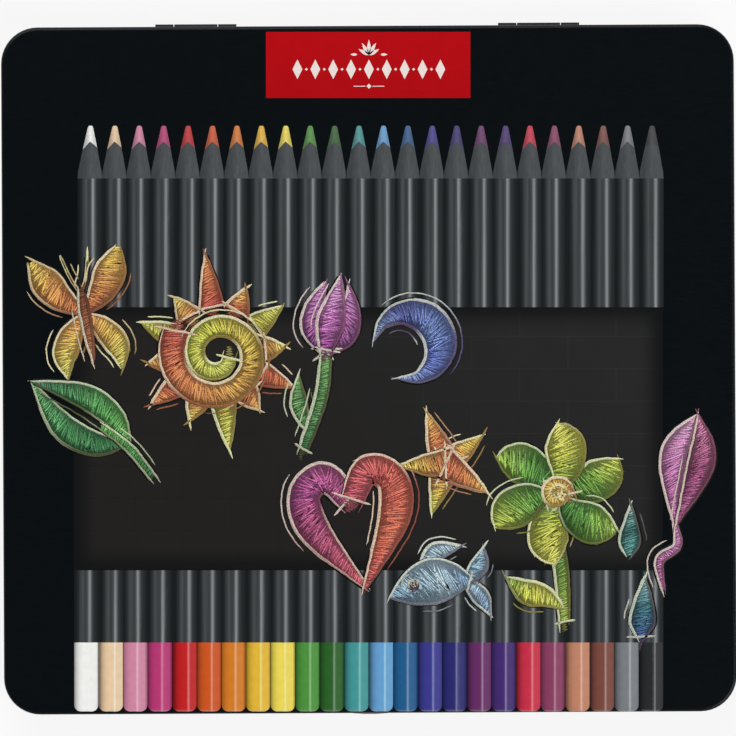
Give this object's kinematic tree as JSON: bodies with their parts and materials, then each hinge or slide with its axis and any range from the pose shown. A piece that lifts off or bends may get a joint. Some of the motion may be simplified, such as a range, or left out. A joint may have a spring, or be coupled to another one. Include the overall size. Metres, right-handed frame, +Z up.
{
  "type": "pencil tin",
  "caption": "Flat hinged metal tin with rounded corners and a grooved tray that holds one row of coloured pencils side by side.",
  "frame": {"origin": "centre of the underside, in the plane that the closed tin stands on", "axes": "+X to the right along the long side as the printed lid is read, +Y towards the hinges and the pencil tips, +Z up out of the lid's printed face"},
  "size_m": [0.201, 0.1898, 0.014],
  "materials": {
    "lid_tinplate": "satin black lacquer with a printed design on top",
    "base_tinplate": "satin black lacquer outside",
    "hinge_wire": "drawn steel wire",
    "tray_plastic": "thermoformed black sheet",
    "dipped_lacquer": "gloss lacquer, each end in its own pencil's colour",
    "barrel_wood": "dark lacquered barrel, bare grey-stained wood on the cone",
    "lead_white": "waxy coloured lead",
    "lead_apricot": "waxy coloured lead",
    "lead_light_pink": "waxy coloured lead",
    "lead_magenta": "waxy coloured lead",
    "lead_red": "waxy coloured lead",
    "lead_orange_red": "waxy coloured lead",
    "lead_orange": "waxy coloured lead",
    "lead_golden_yellow": "waxy coloured lead",
    "lead_yellow": "waxy coloured lead",
    "lead_leaf_green": "waxy coloured lead",
    "lead_dark_green": "waxy coloured lead",
    "lead_turquoise": "waxy coloured lead",
    "lead_sky_blue": "waxy coloured lead",
    "lead_petrol_blue": "waxy coloured lead",
    "lead_ultramarine": "waxy coloured lead",
    "lead_dark_blue": "waxy coloured lead",
    "lead_purple_magenta": "waxy coloured lead",
    "lead_blue_violet": "waxy coloured lead",
    "lead_pink_red": "waxy coloured lead",
    "lead_plum": "waxy coloured lead",
    "lead_peach_brown": "waxy coloured lead",
    "lead_brown": "waxy coloured lead",
    "lead_grey": "waxy coloured lead",
    "lead_black": "waxy coloured lead"
  },
  "bodies": {
    "base": {"base": "base_tinplate", "hinge_pin_left": "hinge_wire", "hinge_pin_right": "hinge_wire", "tray": "tray_plastic", "dipped_ends": "dipped_lacquer", "pencil_barrel_01": "barrel_wood", "pencil_barrel_02": "barrel_wood", "pencil_barrel_03": "barrel_wood", "pencil_barrel_04": "barrel_wood", "pencil_barrel_05": "barrel_wood", "pencil_barrel_06": "barrel_wood", "pencil_barrel_07": "barrel_wood", "pencil_barrel_08": "barrel_wood", "pencil_barrel_09": "barrel_wood", "pencil_barrel_10": "barrel_wood", "pencil_barrel_11": "barrel_wood", "pencil_barrel_12": "barrel_wood", "pencil_barrel_13": "barrel_wood", "pencil_barrel_14": "barrel_wood", "pencil_barrel_15": "barrel_wood", "pencil_barrel_16": "barrel_wood", "pencil_barrel_17": "barrel_wood", "pencil_barrel_18": "barrel_wood", "pencil_barrel_19": "barrel_wood", "pencil_barrel_20": "barrel_wood", "pencil_barrel_21": "barrel_wood", "pencil_barrel_22": "barrel_wood", "pencil_barrel_23": "barrel_wood", "pencil_barrel_24": "barrel_wood", "pencil_lead_01": "lead_white", "pencil_lead_02": "lead_apricot", "pencil_lead_03": "lead_light_pink", "pencil_lead_04": "lead_magenta", "pencil_lead_05": "lead_red", "pencil_lead_06": "lead_orange_red", "pencil_lead_07": "lead_orange", "pencil_lead_08": "lead_golden_yellow", "pencil_lead_09": "lead_yellow", "pencil_lead_10": "lead_leaf_green", "pencil_lead_11": "lead_dark_green", "pencil_lead_12": "lead_turquoise", "pencil_lead_13": "lead_sky_blue", "pencil_lead_14": "lead_petrol_blue", "pencil_lead_15": "lead_ultramarine", "pencil_lead_16": "lead_dark_blue", "pencil_lead_17": "lead_purple_magenta", "pencil_lead_18": "lead_blue_violet", "pencil_lead_19": "lead_pink_red", "pencil_lead_20": "lead_plum", "pencil_lead_21": "lead_peach_brown", "pencil_lead_22": "lead_brown", "pencil_lead_23": "lead_grey", "pencil_lead_24": "lead_black"},
    "lid": {"lid": "lid_tinplate"}
  },
  "joints": [
    {"name": "lid_hinge", "type": "hinge", "parent": "base", "child": "lid", "pos_m": [0, 0.09425, 0.007], "axis": [-1, 0, 0], "range_deg": [0, 180]}
  ]
}
